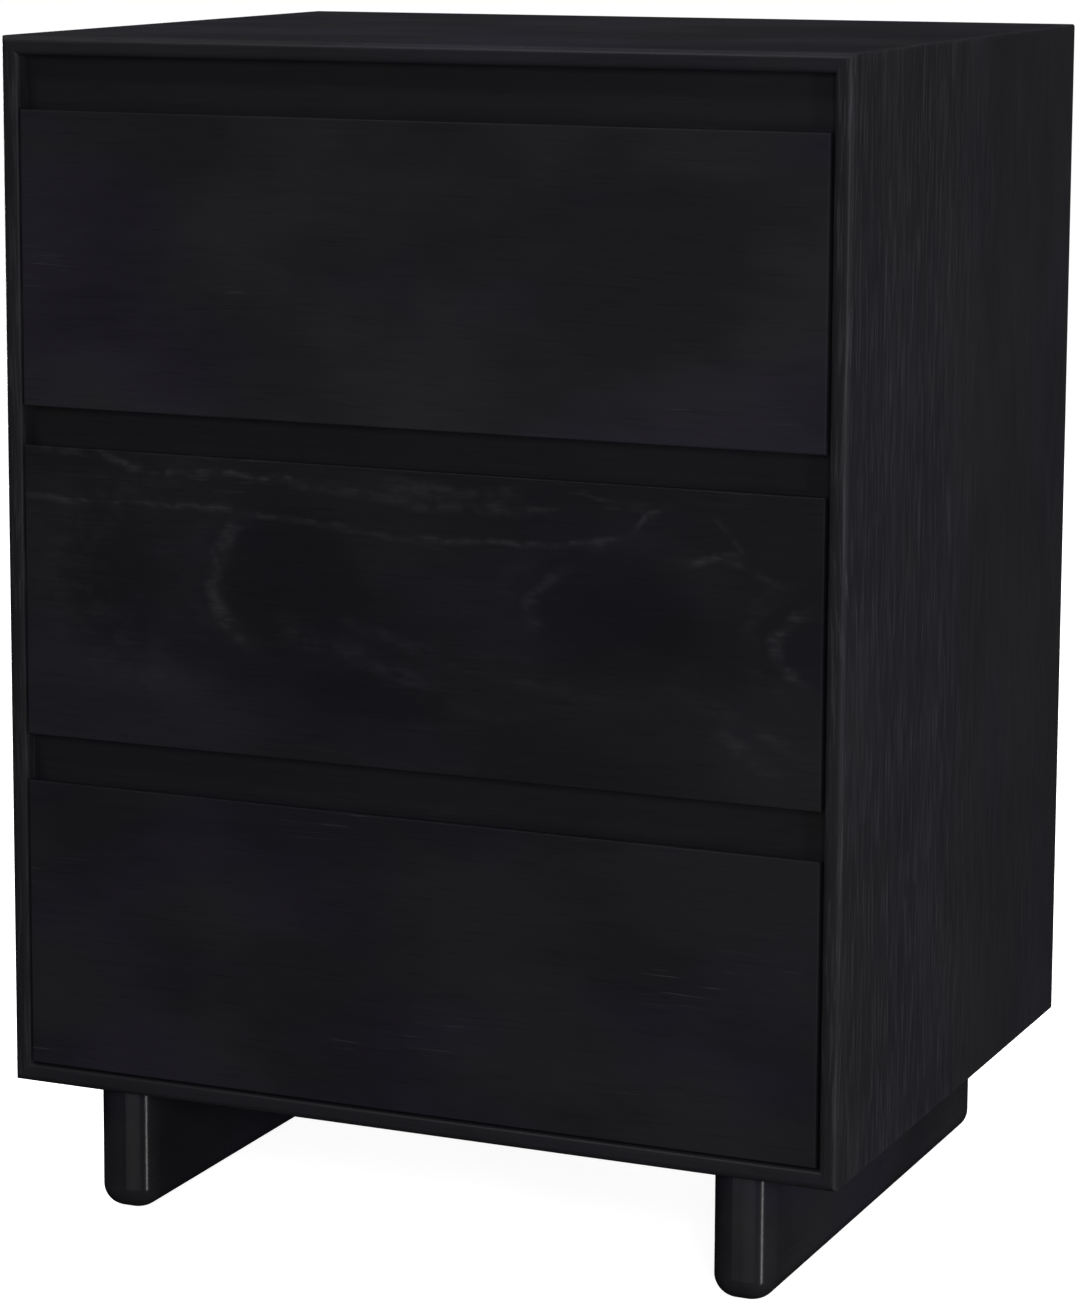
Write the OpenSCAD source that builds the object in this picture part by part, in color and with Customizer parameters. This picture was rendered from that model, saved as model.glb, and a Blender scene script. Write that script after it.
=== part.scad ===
// Three-drawer nightstand on two runners.
//
// A thin-walled case with mitred corners holds three inset drawers on ball-bearing slides.
// Each drawer is opened by the gap above its front: a rail set back in the case leaves room
// for the fingers, and the back of the front's top edge slopes away to form a lip.
//
// X is the width, Y the depth with the drawers opening towards -Y, and Z the height.
// The origin is on the floor under the middle of the case.

/* [Case] */
// Width of the case
case_w = 508; // [400:1:640]
// Depth of the case
case_d = 406; // [330:1:520]
// Height of the case, without the runners
case_h = 610; // [500:1:760]
// Thickness of the top, bottom and side panels
panel_t = 11; // [9:0.5:16]
// Radius of the panels' front edges
edge_r = 4; // [1:0.5:4]
// Radius of the long edges where two panels meet
corner_r = 1.5; // [0.5:0.5:3]
// Thickness of the back panel
back_t = 6; // [4:0.5:9]
// Distance from the back panel to the rear edges of the case
back_set = 3; // [0:0.5:8]
// Width of the ledge that the back panel rests on
back_lap = 5; // [3:0.5:6]
// Clearance round the back panel
back_play = 0.5; // [0.2:0.1:1]

/* [Corner splines] */
// Width of each spline, across the mitre
spline_w = 9; // [7:0.5:10]
// Thickness of each spline
spline_t = 3; // [2:0.5:3.5]
// Distance from the middle of a spline to the outer faces
spline_in = 7.3; // [6.5:0.1:8]
// Distance from each end of a spline to the front edge and to the ledge for the back
spline_stop = 20; // [10:1:40]

/* [Runners] */
// Height of the runners
runner_h = 76; // [60:1:110]
// Thickness of the runners
runner_t = 36; // [30:1:45]
// Distance from the side of the case to the runner
runner_inset = 44; // [20:1:80]
// Distance from the front and the back of the case to the runner's ends
runner_setback = 16; // [0:1:40]
// Radius of the upright edges at the runner's ends
runner_end_r = 15; // [14:0.5:15]
// Radius of the runner's lower edges
runner_foot_r = 13; // [4:0.5:13]

/* [Rails] */
// Distance from the front of the case to the rails
rail_set = 15; // [12:0.5:22]
// Depth of the rails
rail_d = 18; // [15:0.5:24]
// Clearance between a rail and the drawer fronts
rail_play = 1.5; // [1:0.5:3]
// Diameter of the dowels that hold the rails
dowel_d = 6; // [5:0.5:6]
// Length of a dowel in the side panel
dowel_in_side = 7.5; // [5:0.5:8]
// Length of a dowel in the rail
dowel_in_rail = 16; // [12:1:24]
// Distance between the two dowels at a rail's end
dowel_gap = 9; // [8:0.5:9]

/* [Drawer fronts] */
// Gap above the top drawer
top_gap = 30.5; // [24:0.5:36]
// Gap above the middle drawer
middle_gap = 22.5; // [20:0.5:36]
// Gap above the bottom drawer
bottom_gap = 27; // [20:0.5:36]
// Clearance at each side of a drawer front and under the bottom one
front_play = 1.25; // [1:0.25:3]
// Thickness of the drawer fronts
front_t = 19; // [16:0.5:22]
// Radius of a drawer front's outer edges
front_edge_r = 1; // [0.5:0.25:2]
// Thickness of the lip along the top of a front
lip_t = 4; // [3:0.5:6]
// How far the back of the top edge slopes down
lip_drop = 12; // [6:0.5:14]

/* [Drawer boxes] */
// Thickness of the box's sides, front and back
box_t = 12; // [10:0.5:15]
// Distance from the top of a drawer front down to its box
box_drop = 20; // [16:1:30]
// Distance from the lower edge of a drawer front up to its box
box_lift = 14; // [8:1:24]
// Room between a drawer box and the back panel
rear_room = 28; // [15:1:60]
// Number of dovetails at each corner
tail_count = 4; // [3:1:5]
// Extra width of a dovetail's end, at each side
tail_flare = 2; // [1:0.25:2.5]
// Thickness of a drawer bottom
bottom_t = 6; // [4:0.5:8]
// Distance from the box's lower edge up to the drawer bottom
bottom_lift = 10; // [8:0.5:14]
// Depth of the groove that holds the drawer bottom
groove_d = 6; // [4:0.5:7]
// Clearance round the drawer bottom in its groove
groove_play = 0.4; // [0.2:0.1:1]

/* [Slides] */
// Thickness of a slide, between the case and the drawer box
slide_t = 12.7; // [12.7:0.1:14]
// Height of a slide
slide_h = 45; // [42:1:50]
// Lengths that the slides are sold in differ by this step
slide_step = 50; // [25:25:50]
// Thickness of the slide's steel
sheet_t = 1.2; // [1:0.1:1.5]
// Height of the ball races between two members
race_h = 4; // [3.5:0.1:4.2]
// Clearance between members, and between a member and the wood
member_play = 0.8; // [0.6:0.1:1]
// Room for the screw heads behind the middle member
head_room = 2; // [2:0.1:2.4]
// Length of a ball strip
strip_l = 100; // [60:1:120]
// Distance from a ball strip to the end of the middle member
strip_end = 12; // [5:1:30]
// Clearance between a ball strip and the member that it carries
strip_play = 0.2; // [0.1:0.05:0.3]

/* [Screws] */
// Diameter of a slide screw
slide_screw_d = 3.5; // [3:0.5:4]
// Depth of a slide screw in the wood
slide_screw_in = 8; // [6:0.5:8.5]
// Diameter of a slide screw's head
slide_head_d = 7; // [6:0.5:8]
// Thickness of a slide screw's head
slide_head_t = 1.5; // [1:0.1:1.7]
// Diameter of a screw that holds a drawer front to its box
front_screw_d = 4; // [3:0.5:5]
// Depth of that screw in the drawer front
front_screw_in = 13; // [8:0.5:14]
// Diameter of its head
front_head_d = 9; // [8:0.5:12]
// Thickness of its head
front_head_t = 2; // [1.5:0.1:3]
// Diameter of a screw that holds a runner to the case
runner_screw_d = 4.5; // [4:0.5:6]
// Depth of that screw in the runner
runner_screw_in = 34; // [20:1:45]
// Diameter of its countersunk head
runner_head_d = 9; // [8:0.5:11]
// Diameter of a screw that holds the back panel
back_screw_d = 3; // [2.5:0.25:3.5]
// Depth of that screw in the case
back_screw_in = 10; // [8:0.5:16]
// Diameter of its countersunk head
back_head_d = 6; // [5:0.5:6.5]

/* [Hidden] */
$fn = 48;
e = 1; // how far a cutting shape runs past the face that it cuts

DRAWERS = ["top", "middle", "bottom"];
CASE_PARTS = ["case_top", "case_bottom", "case_left", "case_right", "corner_splines",
              "back_panel", "back_screws", "top_rail", "middle_rail", "bottom_rail", "rail_dowels",
              "left_runner", "right_runner", "runner_screws", "case_slide_screws"];
DRAWER_PARTS = ["slide_outer", "slide_middle", "slide_balls", "slide_inner", "slide_screws",
                "front", "box_front", "box_left", "box_right", "box_back", "box_bottom",
                "front_screws"];

BLACK = [0.15, 0.15, 0.16];
FRONT_BLACK = [0.12, 0.12, 0.13];
RAIL_BLACK = [0.09, 0.09, 0.1];
RUNNER_BLACK = [0.11, 0.11, 0.12];
BIRCH = [0.82, 0.7, 0.52];
PLY = [0.74, 0.62, 0.45];
DOWEL = [0.8, 0.65, 0.45];
STEEL = [0.68, 0.7, 0.72];
BRIGHT = [0.78, 0.78, 0.76];

// Faces of the case
front_y = -case_d / 2;
rear_y = case_d / 2;
floor_z = runner_h;
roof_z = runner_h + case_h;
case_mid_z = floor_z + case_h / 2;
inner_w = case_w - 2 * panel_t;
inner_bottom_z = floor_z + panel_t;
inner_top_z = roof_z - panel_t;
back_rear_y = rear_y - back_set;
back_front_y = back_rear_y - back_t;

// Drawer fronts, counted from the top
gaps = [top_gap, middle_gap, bottom_gap];
function sum_to(v, i) = i < 0 ? 0 : v[i] + sum_to(v, i - 1);
front_w = inner_w - 2 * front_play;
front_h = (inner_top_z - inner_bottom_z - sum_to(gaps, 2) - front_play) / 3;
front_back_y = front_y + front_t;
function front_top_z(i) = inner_top_z - sum_to(gaps, i) - i * front_h;
function front_bottom_z(i) = front_top_z(i) - front_h;

// Drawer boxes
box_w = inner_w - 2 * slide_t;
box_l = back_front_y - rear_room - front_back_y;
box_h = front_h - box_drop - box_lift;
tail_pitch = box_h / tail_count;
tail_w = tail_pitch / 2;
function box_z(i) = front_bottom_z(i) + box_lift;

// Slides, with w counted from the case's side towards the drawer box
slide_l = slide_step * floor(box_l / slide_step);
slide_front_y = front_back_y + member_play;
middle_w = sheet_t + head_room;
inner_web_w = slide_t - sheet_t;
inner_leg_w = middle_w + sheet_t + member_play;
middle_h = slide_h - 2 * (sheet_t + race_h);
inner_h = middle_h - 2 * (sheet_t + race_h);
function slide_z(i) = box_z(i) + box_h / 2;

// Places of the screws and dowels
rail_mid_y = front_y + rail_set + rail_d / 2;
runner_x = case_w / 2 - runner_inset - runner_t / 2;
runner_l = case_d - 2 * runner_setback;
runner_screw_y = [for (k = [-1:1]) k * runner_l * 0.34];
outer_screw_y = [for (s = [0.12, 0.5, 0.88]) slide_front_y + s * slide_l];
inner_screw_y = [for (s = [0.2, 0.8]) slide_front_y + s * slide_l];
back_screw_x = case_w / 2 - panel_t + back_lap / 2;
back_screw_z = case_h / 2 - panel_t + back_lap / 2;

// ---------- shapes that repeat ----------

// A rectangle about the origin with round corners
module eased_rect(w, h, r) {
    square([w, h - 2 * r], center = true);
    square([w - 2 * r, h], center = true);
    for (x = [-1, 1], y = [-1, 1]) translate([x * (w / 2 - r), y * (h / 2 - r)]) circle(r);
}

// A board's section from its front edge, with that edge's two corners round
module eased_edge(d, t, r) {
    translate([r, 0]) square([d - r, t]);
    translate([0, r]) square([r, t - 2 * r]);
    for (v = [r, t - r]) translate([r, v]) circle(r);
}

// Draws a section given in Y and Z along X
module along_x(length) {
    rotate([90, 0, 90]) translate([0, 0, -length / 2]) linear_extrude(length) children();
}

// Draws a section given in X and Z along Y
module along_y(length) {
    rotate([90, 0, 0]) translate([0, 0, -length / 2]) linear_extrude(length) children();
}

// A box from its middle in X, its front in Y and its bottom in Z
module board(w, d, h) {
    translate([-w / 2, 0, 0]) cube([w, d, h]);
}

// The cross cut in a screw head, h deep from z = 0
module driver_cross(size, h) {
    for (a = [0, 90]) rotate([0, 0, a])
        translate([-size / 2, -size / 10, -h]) cube([size, size / 5, h + e]);
}

// A countersunk screw that points down, its head's top at z = 0
module flat_screw(d, head_d, length) {
    difference() {
        union() {
            translate([0, 0, -length]) cylinder(h = length, d = d);
            translate([0, 0, (d - head_d) / 2]) cylinder(h = (head_d - d) / 2, d1 = d, d2 = head_d);
        }
        driver_cross(head_d * 0.55, (head_d - d) * 0.3);
    }
}

// The hole for that screw
module flat_screw_hole(d, head_d, length) {
    translate([0, 0, -length]) cylinder(h = length, d = d);
    translate([0, 0, (d - head_d) / 2]) cylinder(h = (head_d - d) / 2, d1 = d, d2 = head_d);
}

// A screw with a raised head that points down, the head's underside at z = 0
module pan_screw(d, head_d, head_t, length) {
    translate([0, 0, -length]) cylinder(h = length + head_t / 2, d = d);
    difference() {
        union() {
            cylinder(h = head_t * 0.5, d = head_d);
            translate([0, 0, head_t * 0.5])
                cylinder(h = head_t * 0.5, d1 = head_d, d2 = head_d * 0.72);
        }
        translate([0, 0, head_t]) driver_cross(head_d * 0.55, head_t * 0.5);
    }
}

// Puts its children at both sides of the case: they are drawn for the right one
module both_sides() {
    children();
    mirror([1, 0, 0]) children();
}

// ---------- the case ----------

// One mitred panel, drawn as the top of a case that is centred on the origin
module mitred_panel(length, off) {
    intersection() {
        translate([0, front_y, off - panel_t]) along_x(length) difference() {
            eased_edge(case_d, panel_t, edge_r);
            translate([case_d - back_set - back_t, -e])
                square([back_set + back_t + e, back_lap + e]);
        }
        along_y(case_d + 2 * e) intersection() {
            polygon([[-length / 2, off], [length / 2, off],
                     [length / 2 - panel_t, off - panel_t], [panel_t - length / 2, off - panel_t]]);
            eased_rect(length, 2 * off, corner_r);
        }
    }
}

module place_panel(turn) {
    translate([0, 0, case_mid_z]) rotate([0, turn, 0]) children();
}

module spline_shapes() {
    spline_l = case_d - back_set - back_t - 2 * spline_stop;
    for (x = [-1, 1], z = [-1, 1])
        translate([x * (case_w / 2 - spline_in), front_y + spline_stop + spline_l / 2,
                   case_mid_z + z * (case_h / 2 - spline_in)])
            rotate([0, x * z * 45, 0]) cube([spline_w, spline_l, spline_t], center = true);
}

// Calls its children at each back screw, which points towards -Y
module at_back_screws() {
    for (x = [-1, 1], z = [-1:1])
        translate([x * back_screw_x, back_rear_y, case_mid_z + z * back_screw_z * 0.86])
            rotate([-90, 0, 0]) children();
    for (x = [-1, 1], z = [-1, 1])
        translate([x * back_screw_x * 0.5, back_rear_y, case_mid_z + z * back_screw_z])
            rotate([-90, 0, 0]) children();
}

module back_screw_holes() {
    at_back_screws() flat_screw_hole(back_screw_d, back_head_d, back_t + back_screw_in);
}

// Calls its children at each runner screw, which points down
module at_runner_screws() {
    for (x = [-1, 1], y = runner_screw_y)
        translate([x * runner_x, y, inner_bottom_z]) children();
}

module runner_screw_holes() {
    at_runner_screws() flat_screw_hole(runner_screw_d, runner_head_d, panel_t + runner_screw_in);
}

module case_top() {
    color(BLACK) difference() {
        place_panel(0) mitred_panel(case_w, case_h / 2);
        spline_shapes();
        back_screw_holes();
    }
}

module case_bottom() {
    color(BLACK) difference() {
        place_panel(180) mitred_panel(case_w, case_h / 2);
        spline_shapes();
        back_screw_holes();
        runner_screw_holes();
    }
}

// The side panel at the right, or with side = -1 at the left
module case_side(side) {
    color(BLACK) difference() {
        place_panel(side * 90) mitred_panel(case_h, case_w / 2);
        spline_shapes();
        back_screw_holes();
        dowel_shapes();
        both_sides() at_outer_screws() cylinder(h = slide_screw_in + sheet_t, d = slide_screw_d);
    }
}

module corner_splines() {
    color(DOWEL) spline_shapes();
}

module back_panel() {
    lap = 2 * (back_lap - back_play);
    color(BLACK) difference() {
        translate([0, back_front_y, inner_bottom_z - lap / 2])
            board(inner_w + lap, back_t, inner_top_z - inner_bottom_z + lap);
        back_screw_holes();
    }
}

module back_screws() {
    color(BRIGHT) at_back_screws()
        flat_screw(back_screw_d, back_head_d, back_t + back_screw_in);
}

// ---------- the rails ----------

// Rail i closes the gap above drawer i, and the first one meets the top panel. It reaches down
// behind the lip of that drawer's front, as far as the slope of the lip allows.
lip_slope_at_rail = lip_drop * min(1, (rail_set - lip_t) / (front_t - lip_t));
function rail_bottom_z(i) = front_top_z(i) - lip_slope_at_rail + rail_play;
function rail_top_z(i) = i == 0 ? inner_top_z : front_bottom_z(i - 1) - rail_play;

module rail(i) {
    color(RAIL_BLACK) difference() {
        translate([0, front_y + rail_set, rail_bottom_z(i)])
            board(inner_w, rail_d, rail_top_z(i) - rail_bottom_z(i));
        dowel_shapes();
    }
}

module dowel_shapes() {
    for (x = [-1, 1], i = [0:2], y = [-1, 1])
        translate([x * (inner_w / 2 - dowel_in_rail), rail_mid_y + y * dowel_gap / 2,
                   (rail_bottom_z(i) + rail_top_z(i)) / 2])
            rotate([0, x * 90, 0]) cylinder(h = dowel_in_rail + dowel_in_side, d = dowel_d);
}

module rail_dowels() {
    color(DOWEL) dowel_shapes();
}

// ---------- the runners ----------

// A plank on edge with its lower edges and its upright end edges round
module runner(side) {
    x_in = runner_t / 2 - runner_end_r;
    y_in = runner_l / 2 - runner_end_r;
    color(RUNNER_BLACK) difference() {
        translate([side * runner_x, 0, 0]) {
            for (x = [-1, 1], y = [-1, 1]) translate([x * x_in, y * y_in, 0])
                rotate_extrude() round_foot(runner_end_r);
            along_y(2 * y_in) round_bottom(runner_t);
            along_x(2 * x_in) round_bottom(runner_l);
        }
        runner_screw_holes();
    }
}

// Half of the section of an upright round post with a round lower edge
module round_foot(r) {
    translate([0, runner_foot_r]) square([r, runner_h - runner_foot_r]);
    square([r - runner_foot_r, runner_h]);
    intersection() {
        translate([r - runner_foot_r, runner_foot_r]) circle(runner_foot_r);
        square([r, runner_h]);
    }
}

// A section w wide whose two lower corners are round
module round_bottom(w) {
    translate([-w / 2, runner_foot_r]) square([w, runner_h - runner_foot_r]);
    translate([runner_foot_r - w / 2, 0]) square([w - 2 * runner_foot_r, runner_h]);
    for (x = [-1, 1]) translate([x * (w / 2 - runner_foot_r), runner_foot_r]) circle(runner_foot_r);
}

module runner_screws() {
    color(BRIGHT) at_runner_screws()
        flat_screw(runner_screw_d, runner_head_d, panel_t + runner_screw_in);
}

// ---------- the slides ----------

// A channel's section, h high over all: its web's back at w = back, its legs' edges at w = edge
module channel(back, edge, h) {
    translate([back < edge ? back : back - sheet_t, -h / 2]) square([sheet_t, h]);
    for (v = [-h / 2, h / 2 - sheet_t])
        translate([min(back, edge), v]) square([abs(edge - back), sheet_t]);
}

// Draws a section given from the right side panel inwards, along the slide
module slide_member(i, y0 = slide_front_y, length = slide_l) {
    both_sides() translate([inner_w / 2, y0 + length / 2, slide_z(i)])
        mirror([1, 0, 0]) along_y(length) children();
}

// Calls its children at each screw through an outer member, pointing into the side panel
module at_outer_screws() {
    for (i = [0:2], y = outer_screw_y)
        translate([inner_w / 2 - sheet_t, y, slide_z(i)]) rotate([0, 90, 0]) children();
}

// Calls its children at each screw through an inner member, pointing into the box's side
module at_inner_screws(i) {
    for (y = inner_screw_y)
        translate([inner_w / 2 - inner_web_w, y, slide_z(i)]) rotate([0, -90, 0]) children();
}

module slide_outer(i) {
    color(STEEL) difference() {
        slide_member(i) channel(0, slide_t - 2 * member_play, slide_h);
        both_sides() at_outer_screws() cylinder(h = sheet_t, d = slide_screw_d);
    }
}

module slide_middle(i) {
    color(STEEL) slide_member(i) channel(middle_w, inner_web_w - member_play, middle_h);
}

// Each strip lies on the middle member's leg, and runs in the rear half of the outer member
// or in the front half of the inner one
module slide_balls(i) {
    strip_h = race_h - strip_play;
    color(BRIGHT) {
        slide_member(i, slide_front_y + slide_l - strip_end - strip_l, strip_l)
            for (v = [-middle_h / 2 - strip_h, middle_h / 2])
                translate([middle_w, v]) square([inner_web_w - 2 * member_play - middle_w, strip_h]);
        slide_member(i, slide_front_y + strip_end, strip_l)
            for (v = [sheet_t - middle_h / 2, middle_h / 2 - sheet_t - strip_h])
                translate([inner_leg_w, v]) square([inner_web_w - 2 * member_play - inner_leg_w, strip_h]);
    }
}

module slide_inner(i) {
    color(STEEL) difference() {
        slide_member(i) channel(slide_t, inner_leg_w, inner_h);
        both_sides() at_inner_screws(i) cylinder(h = sheet_t, d = slide_screw_d);
    }
}

module slide_screw() {
    rotate([180, 0, 0])
        pan_screw(slide_screw_d, slide_head_d, slide_head_t, slide_screw_in + sheet_t);
}

module case_slide_screws() {
    color(BRIGHT) both_sides() at_outer_screws() slide_screw();
}

module slide_screws(i) {
    color(BRIGHT) both_sides() at_inner_screws(i) slide_screw();
}

// ---------- the drawers ----------

module drawer_front(i) {
    color(FRONT_BLACK) difference() {
        translate([0, front_y, front_bottom_z(i)]) intersection() {
            along_x(front_w) difference() {
                eased_edge(front_t, front_h, front_edge_r);
                polygon([[lip_t, front_h + e], [lip_t, front_h], [front_t, front_h - lip_drop],
                         [front_t + e, front_h - lip_drop], [front_t + e, front_h + e]]);
            }
            linear_extrude(front_h) rotate(90) translate([0, -front_w / 2])
                eased_edge(front_t, front_w, front_edge_r);
        }
        at_front_screws(i) cylinder(h = front_screw_in + box_t, d = front_screw_d);
    }
}

// Calls its children at each screw through a box's front, pointing towards the drawer front
module at_front_screws(i) {
    for (x = [-1, 1], z = [-1, 1])
        translate([x * box_w / 3, front_back_y + box_t, slide_z(i) + z * box_h / 4])
            rotate([90, 0, 0]) children();
}

module front_screws(i) {
    color(BRIGHT) at_front_screws(i) rotate([180, 0, 0])
        pan_screw(front_screw_d, front_head_d, front_head_t, front_screw_in + box_t);
}

// The dovetails at both ends of a box's side, for the side at x = 0 to box_t
module tails() {
    for (back = [0, 1]) translate([0, back * box_l, 0]) mirror([0, back, 0])
        for (k = [0:tail_count - 1]) translate([0, 0, (k + 0.5) * tail_pitch])
            rotate([90, 0, 90]) linear_extrude(box_t)
                polygon([[0, tail_w / 2 + tail_flare], [0, -tail_w / 2 - tail_flare],
                         [box_t, -tail_w / 2], [box_t, tail_w / 2]]);
}

// Moves a box's side from x = 0 to its place: 1 is the right side and -1 the left
module place_box_side(i, side) {
    translate([side > 0 ? box_w / 2 - box_t : -box_w / 2, front_back_y, box_z(i)]) children();
}

module bottom_board(i, grow) {
    w = box_w - 2 * (box_t - groove_d) - 2 * groove_play + 2 * grow;
    l = box_l - 2 * (box_t - groove_d) - 2 * groove_play + 2 * grow;
    translate([0, front_back_y + (box_l - l) / 2, box_z(i) + bottom_lift]) board(w, l, bottom_t);
}

module box_side(i, side) {
    color(BIRCH) difference() {
        place_box_side(i, side) {
            translate([0, box_t, 0]) cube([box_t, box_l - 2 * box_t, box_h]);
            tails();
        }
        bottom_board(i, groove_play);
        both_sides() at_inner_screws(i) cylinder(h = slide_screw_in + sheet_t, d = slide_screw_d);
    }
}

// The box's front, or with y0 its back
module box_end(i, y0 = 0) {
    color(BIRCH) difference() {
        translate([0, front_back_y + y0, box_z(i)]) board(box_w, box_t, box_h);
        for (side = [-1, 1]) place_box_side(i, side) tails();
        bottom_board(i, groove_play);
        if (y0 == 0) at_front_screws(i) cylinder(h = box_t, d = front_screw_d);
    }
}

module box_bottom(i) {
    color(PLY) bottom_board(i, 0);
}

// ---------- the nodes ----------

case_top();
case_bottom();
case_side(-1);  // case_left
case_side(1);  // case_right
corner_splines();
back_panel();
back_screws();
rail_dowels();
runner(-1);  // left_runner
runner(1);  // right_runner
runner_screws();
case_slide_screws();
for (i = [0:2]) {
    rail(i);
    slide_outer(i);
    slide_middle(i);
    slide_balls(i);
    slide_inner(i);
    slide_screws(i);
    drawer_front(i);
    box_end(i);
    box_side(i, -1);
    box_side(i, 1);
    box_end(i, box_l - box_t);
    box_bottom(i);
    front_screws(i);
}
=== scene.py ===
"""Finishes and a plain studio for a nightstand with three drawers.

Laid out as an add-on and run as a script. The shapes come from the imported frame."""

import math
from functools import reduce

import bpy
from bpy.props import FloatProperty, FloatVectorProperty, PointerProperty
from mathutils import Euler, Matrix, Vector


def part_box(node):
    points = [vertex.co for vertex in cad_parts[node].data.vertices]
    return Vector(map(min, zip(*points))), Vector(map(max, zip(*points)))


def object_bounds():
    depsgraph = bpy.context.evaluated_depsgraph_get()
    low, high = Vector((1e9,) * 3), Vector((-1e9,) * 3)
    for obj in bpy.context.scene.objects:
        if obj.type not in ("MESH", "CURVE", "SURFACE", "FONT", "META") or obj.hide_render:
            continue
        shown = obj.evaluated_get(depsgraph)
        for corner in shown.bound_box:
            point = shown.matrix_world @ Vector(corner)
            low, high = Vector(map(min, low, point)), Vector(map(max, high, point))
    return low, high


bl_info = {
    "name": "Nightstand with drawers",
    "version": (1, 0, 0),
    "blender": (4, 5, 0),
    "location": "View3D > Sidebar > Nightstand",
    "description": "Stained wood, drawer boxes, slides and a studio for a nightstand",
    "category": "Object",
}

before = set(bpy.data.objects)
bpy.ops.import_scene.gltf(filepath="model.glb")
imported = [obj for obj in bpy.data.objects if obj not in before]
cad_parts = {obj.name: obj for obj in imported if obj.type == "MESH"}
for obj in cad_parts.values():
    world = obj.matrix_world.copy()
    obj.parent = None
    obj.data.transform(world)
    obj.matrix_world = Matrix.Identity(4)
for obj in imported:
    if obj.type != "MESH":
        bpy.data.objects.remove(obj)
cad_low, cad_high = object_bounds()

DRAWERS = ("top", "middle", "bottom")
MM = 0.001
X, Y, Z = range(3)
TABLE_TOP = cad_high.z


def tone(red, green, blue):
    """Linear colour of an 8-bit display colour, by the sRGB curve."""
    shares = [value / 255 for value in (red, green, blue)]
    return tuple(v / 12.92 if v <= 0.04045 else ((v + 0.055) / 1.055) ** 2.4 for v in shares)


# ---------------------------------------------------------------- shader kit


class Flow:
    """A shader socket that takes part in ordinary Python sums."""

    def __init__(self, tree, socket):
        self.tree = tree
        self.socket = socket

    def maths(self, operation, *terms):
        """One Math node, or a Vector Math node where a term is a vector or a colour."""
        vector = any(
            isinstance(term, (tuple, Vector))
            or (isinstance(term, Flow) and term.socket.type in {"VECTOR", "RGBA"})
            for term in terms
        )
        kind = "ShaderNodeVectorMath" if vector else "ShaderNodeMath"
        return self.tree.node(kind, {"operation": operation}, dict(enumerate(terms)))

    def __add__(self, other):
        return self.maths("ADD", self, other)

    def __radd__(self, other):
        return self.maths("ADD", other, self)

    def __sub__(self, other):
        return self.maths("SUBTRACT", self, other)

    def __rsub__(self, other):
        return self.maths("SUBTRACT", other, self)

    def __mul__(self, other):
        return self.maths("MULTIPLY", self, other)

    def __rmul__(self, other):
        return self.maths("MULTIPLY", other, self)

    def __truediv__(self, other):
        return self.maths("DIVIDE", self, other)

    def __rtruediv__(self, other):
        return self.maths("DIVIDE", other, self)

    def __pow__(self, other):
        return self.maths("POWER", self, other)

    def __rpow__(self, other):
        return self.maths("POWER", other, self)

    def __abs__(self):
        return self.maths("ABSOLUTE", self)

    def sine(self):
        """The sine of an angle in radians."""
        return self.maths("SINE", self)

    def least(self, other):
        """The smaller of two values."""
        return self.maths("MINIMUM", self, other)

    def most(self, other):
        """The larger of two values."""
        return self.maths("MAXIMUM", self, other)

    def split(self):
        """The three parts of a vector."""
        first = self.tree.node("ShaderNodeSeparateXYZ", None, {0: self})
        return [Flow(self.tree, outlet) for outlet in first.socket.node.outputs]


class Tree:
    """A node tree that is written as expressions."""

    def __init__(self, owner):
        owner.use_nodes = True
        self.owner = owner
        self.nodes = owner.node_tree.nodes
        self.links = owner.node_tree.links
        self.nodes.clear()

    def node(self, kind, settings=None, values=None, outlet=0):
        """Any node: its settings are set first, then its sockets get values or links."""
        made = self.nodes.new(kind)
        for key, value in (settings or {}).items():
            setattr(made, key, value)
        for key, value in (values or {}).items():
            socket = made.inputs[key]
            if isinstance(value, Flow):
                self.links.new(value.socket, socket)
            elif socket.type == "RGBA":
                socket.default_value = (*value, 1.0)
            elif socket.type == "VECTOR" and isinstance(value, (int, float)):
                socket.default_value = (value, value, value)
            else:
                socket.default_value = value
        return Flow(self, made.outputs[outlet]) if made.outputs else None

    def noise(self, place, scale=1.0, detail=2.0, roughness=0.5):
        """Smooth noise from 0 to 1."""
        values = {"Vector": place, "Scale": scale, "Detail": detail, "Roughness": roughness}
        return self.node("ShaderNodeTexNoise", None, values)

    def grained(self, place, grain, along, across, detail=2.0, roughness=0.5):
        """Noise pulled out along the grain. Along and across are its waves to the metre."""
        waves = [across] * 3
        waves[grain] = along
        return self.noise(place * tuple(waves), detail=detail, roughness=roughness)

    def step(self, value, low, high, bottom=0.0, top=1.0, soft=True):
        """From bottom at low to top at high, held level outside that."""
        kind = "SMOOTHSTEP" if soft else "LINEAR"
        values = {"Value": value, "From Min": low, "From Max": high,
                  "To Min": bottom, "To Max": top}
        return self.node("ShaderNodeMapRange", {"interpolation_type": kind}, values)

    def mix(self, share, first, second, blend="MIX"):
        """A colour between two colours, or the first one blended with the second."""
        settings = {"data_type": "RGBA", "blend_type": blend}
        factor, first_colour, second_colour, result = 0, 6, 7, 2
        values = {factor: share, first_colour: first, second_colour: second}
        return self.node("ShaderNodeMix", settings, values, result)

    def tint(self, colour, strength):
        """A colour made lighter or darker."""
        return self.mix(1.0, colour, strength, "MULTIPLY")

    def bump(self, height, depth, strength=1.0):
        """A bumped normal. Depth is the height of a whole unit, in metres."""
        values = {"Height": height, "Distance": depth, "Strength": strength}
        return self.node("ShaderNodeBump", None, values)


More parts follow.
